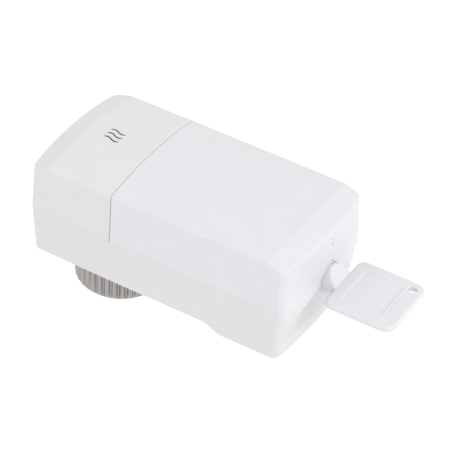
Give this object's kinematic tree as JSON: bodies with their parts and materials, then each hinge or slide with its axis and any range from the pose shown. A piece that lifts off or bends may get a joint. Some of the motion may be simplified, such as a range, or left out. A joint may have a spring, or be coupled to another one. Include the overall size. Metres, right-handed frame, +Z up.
{
  "type": "motorised actuator head",
  "caption": "Motorised head for radiator valves: boxy white casing with lift-off battery cover, M30 union nut underneath and a flat key in its end.",
  "frame": {"origin": "union nut's axis, in the plane of its open lower end", "axes": "+Z up out of the valve along the nut's axis, +X along the casing towards the key"},
  "size_m": [0.1409, 0.0552, 0.0616],
  "materials": {
    "housing_white": "fine satin moulded",
    "cover_white": "fine satin moulded",
    "cover_white_cool": "fine satin moulded",
    "key_white": "satin moulded",
    "nickel_steel": "matt nickel plating, turned",
    "brass": "turned",
    "zinc_steel": "zinc plated",
    "frame_plastic": "glass-filled, matt",
    "screw_steel": "zinc plated",
    "motor_steel": "drawn can",
    "shaft_steel": "ground",
    "pinion_brass": "hobbed",
    "gear_plastic": "natural acetal",
    "rod_plastic": "natural acetal",
    "tray_plastic": "satin moulded",
    "cell_jacket": "printed film jacket, plain",
    "contact_nickel": "nickel plated",
    "board_green": "solder mask",
    "chip_black": "moulded epoxy",
    "shield_tin": "tinned",
    "capacitor_sleeve": "shrink sleeve",
    "connector_plastic": "natural nylon",
    "button_grey": "satin",
    "led_amber": "clear tinted",
    "guide_clear": "polished clear",
    "rotor_plastic": "satin"
  },
  "bodies": {
    "casing": {"lower_housing": "housing_white", "front_cover": "cover_white", "valve_collar": "brass", "collar_locknut": "zinc_steel", "gearbox_base": "frame_plastic", "gearbox_lid": "frame_plastic", "gearbox_screws": "screw_steel", "motor": "motor_steel", "gear_axles": "shaft_steel", "battery_tray": "tray_plastic", "tray_screws": "screw_steel", "battery_cells": "cell_jacket", "contact_plates": "contact_nickel", "contact_springs": "contact_nickel", "circuit_board": "board_green", "controller_chip": "chip_black", "radio_module": "shield_tin", "buffer_capacitor": "capacitor_sleeve", "terminal_block": "connector_plastic", "tact_switch": "chip_black", "status_led": "led_amber", "light_guide": "guide_clear", "lock_block": "tray_plastic"},
    "battery_cover": {"battery_cover": "cover_white_cool"},
    "union_nut": {"union_nut": "nickel_steel"},
    "spindle": {"spindle_gear": "gear_plastic"},
    "compound_2": {"compound_gear_2": "gear_plastic"},
    "compound_1": {"compound_gear_1": "gear_plastic"},
    "motor_rotor": {"motor_shaft": "shaft_steel", "motor_pinion": "pinion_brass"},
    "push_rod": {"push_rod": "rod_plastic"},
    "lock_rotor": {"lock_rotor": "rotor_plastic"},
    "key": {"key": "key_white"},
    "system_button": {"system_button": "button_grey"}
  },
  "joints": [
    {"name": "nut_spin", "type": "hinge", "parent": "casing", "child": "union_nut", "pos_m": [0, 0, 0.015], "axis": [0, 0, 1], "continuous": true},
    {"name": "spindle_turn", "type": "hinge", "parent": "casing", "child": "spindle", "pos_m": [0, 0, 0.05], "axis": [0, 0, 1], "range_deg": [0, 770]},
    {"name": "compound_2_turn", "type": "hinge", "parent": "casing", "child": "compound_2", "pos_m": [-0.0025, 0.01428, 0.05], "axis": [0, 0, 1], "range_deg": [-3700, 0]},
    {"name": "compound_1_turn", "type": "hinge", "parent": "casing", "child": "compound_1", "pos_m": [-0.01237, 0.01069, 0.05], "axis": [0, 0, 1], "range_deg": [0, 11840]},
    {"name": "motor_turn", "type": "hinge", "parent": "casing", "child": "motor_rotor", "pos_m": [-0.01311, 0.00222, 0.05], "axis": [0, 0, 1], "range_deg": [-28400, 0]},
    {"name": "rod_slide", "type": "slide", "parent": "casing", "child": "push_rod", "axis": [0, 0, -1], "range_m": [0, 0.0043]},
    {"name": "cover_lift", "type": "slide", "parent": "casing", "child": "battery_cover", "axis": [0, 0, 1], "range_m": [0, 0.03]},
    {"name": "lock_turn", "type": "hinge", "parent": "casing", "child": "lock_rotor", "pos_m": [0.077, 0, 0.0389], "axis": [1, 0, 0], "range_deg": [0, 90]},
    {"name": "key_pull", "type": "slide", "parent": "lock_rotor", "child": "key", "axis": [1, 0, 0], "range_m": [0, 0.03]},
    {"name": "button_press", "type": "slide", "parent": "casing", "child": "system_button", "axis": [0, 0, -1], "range_m": [0, 0.0005], "stiffness_N_per_m": 400}
  ],
  "couplings": [
    {"joint": "spindle_turn", "follows": "rod_slide", "rad_per_m": 3125},
    {"joint": "compound_2_turn", "follows": "rod_slide", "rad_per_m": -15000},
    {"joint": "compound_1_turn", "follows": "rod_slide", "rad_per_m": 48000},
    {"joint": "motor_turn", "follows": "rod_slide", "rad_per_m": -115200}
  ]
}
